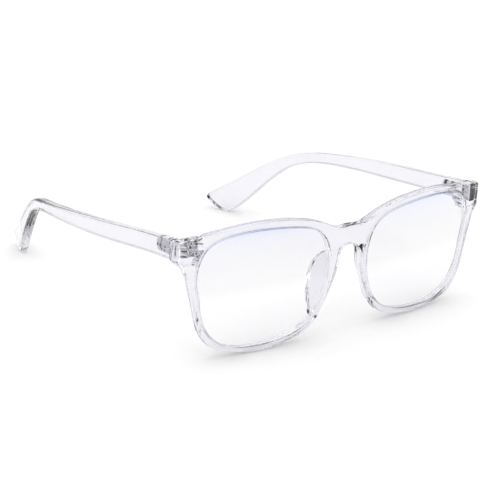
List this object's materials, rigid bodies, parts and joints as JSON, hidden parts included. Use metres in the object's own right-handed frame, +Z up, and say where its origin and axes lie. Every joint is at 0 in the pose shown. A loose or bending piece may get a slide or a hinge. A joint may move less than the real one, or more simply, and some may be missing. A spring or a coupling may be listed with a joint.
{
  "type": "blue light glasses",
  "caption": "Clear rectangular glasses with blue-coated plano lenses, a moulded front with nose pads, and folding temples on metal hinges.",
  "frame": {"origin": "middle of the footprint, on the surface that the glasses stand on", "axes": "+Z up, the front faces -Y and the temples run back along +Y, +X towards the wearer's left"},
  "size_m": [0.145, 0.145, 0.0471],
  "materials": {
    "clear_plastic": "polished clear injection-moulded polycarbonate",
    "coated_lens": "clear lens with a faint blue anti-reflection coat",
    "hinge_metal": "stamped nickel silver leaves",
    "screw_metal": "turned steel screws"
  },
  "bodies": {
    "front": {"front_frame": "clear_plastic", "lens_right": "coated_lens", "lens_left": "coated_lens", "hinge_front_leaf_right": "hinge_metal", "hinge_front_leaf_left": "hinge_metal", "hinge_screw_right": "screw_metal", "hinge_screw_left": "screw_metal", "front_leaf_screw_upper_right": "screw_metal", "front_leaf_screw_lower_right": "screw_metal", "front_leaf_screw_upper_left": "screw_metal", "front_leaf_screw_lower_left": "screw_metal"},
    "temple_right": {"temple_right": "clear_plastic", "hinge_temple_leaf_right": "hinge_metal", "temple_leaf_screw_near_right": "screw_metal", "temple_leaf_screw_far_right": "screw_metal"},
    "temple_left": {"temple_left": "clear_plastic", "hinge_temple_leaf_left": "hinge_metal", "temple_leaf_screw_near_left": "screw_metal", "temple_leaf_screw_far_left": "screw_metal"}
  },
  "joints": [
    {"name": "temple_right_fold", "type": "hinge", "parent": "front", "child": "temple_right", "pos_m": [-0.0655, -0.06004, 0.0398], "axis": [0, 0, -1], "range_deg": [0, 82]},
    {"name": "temple_left_fold", "type": "hinge", "parent": "front", "child": "temple_left", "pos_m": [0.0655, -0.06004, 0.0398], "axis": [0, 0, 1], "range_deg": [0, 75]}
  ]
}
